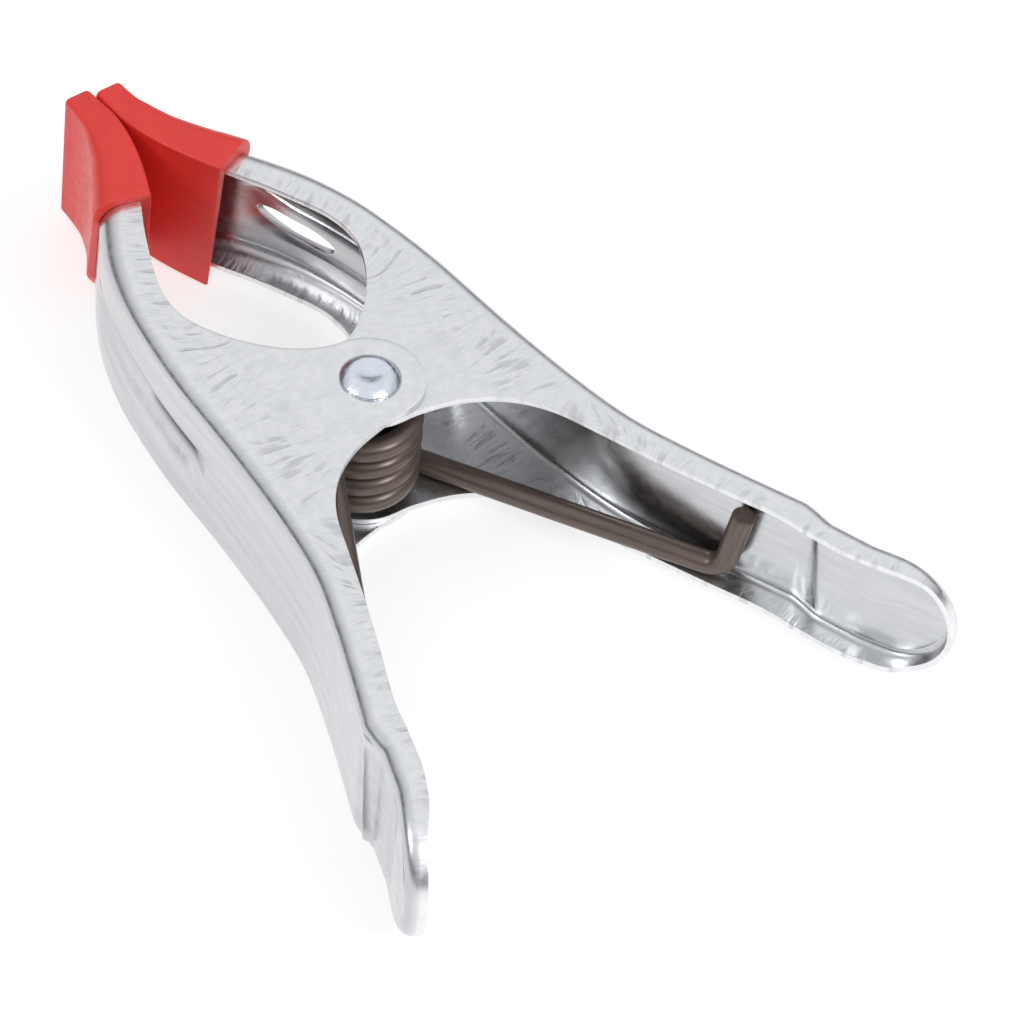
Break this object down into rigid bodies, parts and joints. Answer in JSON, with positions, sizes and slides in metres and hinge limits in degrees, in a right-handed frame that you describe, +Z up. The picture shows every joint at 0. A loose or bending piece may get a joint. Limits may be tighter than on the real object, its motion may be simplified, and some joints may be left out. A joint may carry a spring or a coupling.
{
  "type": "spring clamp",
  "caption": "Small stamped-steel spring clamp: two channel levers on a rivet, a torsion spring that closes the jaws, and a soft cap on each jaw.",
  "frame": {"origin": "middle of the clamp's footprint as it lies on its side, level with the lower rivet head", "axes": "+X from the jaws to the handles along the mirror line between the levers, +Y towards the inner lever, +Z up along the pivot axis"},
  "size_m": [0.1062, 0.07, 0.0184],
  "materials": {
    "zinc_plated_steel": "bright zinc plating with faint draw marks",
    "rivet_steel": "bright zinc plating, glossier than the levers",
    "spring_steel": "oil-tempered dark brown wire, satin",
    "jaw_cap_plastic": "satin soft plastic"
  },
  "bodies": {
    "outer_side": {"outer_lever": "zinc_plated_steel", "outer_jaw_cap": "jaw_cap_plastic", "pivot_rivet": "rivet_steel", "torsion_spring": "spring_steel"},
    "inner_side": {"inner_lever": "zinc_plated_steel", "inner_jaw_cap": "jaw_cap_plastic"}
  },
  "joints": [
    {"name": "pivot_hinge", "type": "hinge", "parent": "outer_side", "child": "inner_side", "pos_m": [-0.00272, 0, 0.0092], "axis": [0, 0, -1], "range_deg": [0, 35], "stiffness_Nm_per_rad": 0.8, "deforming": ["torsion_spring"]}
  ]
}
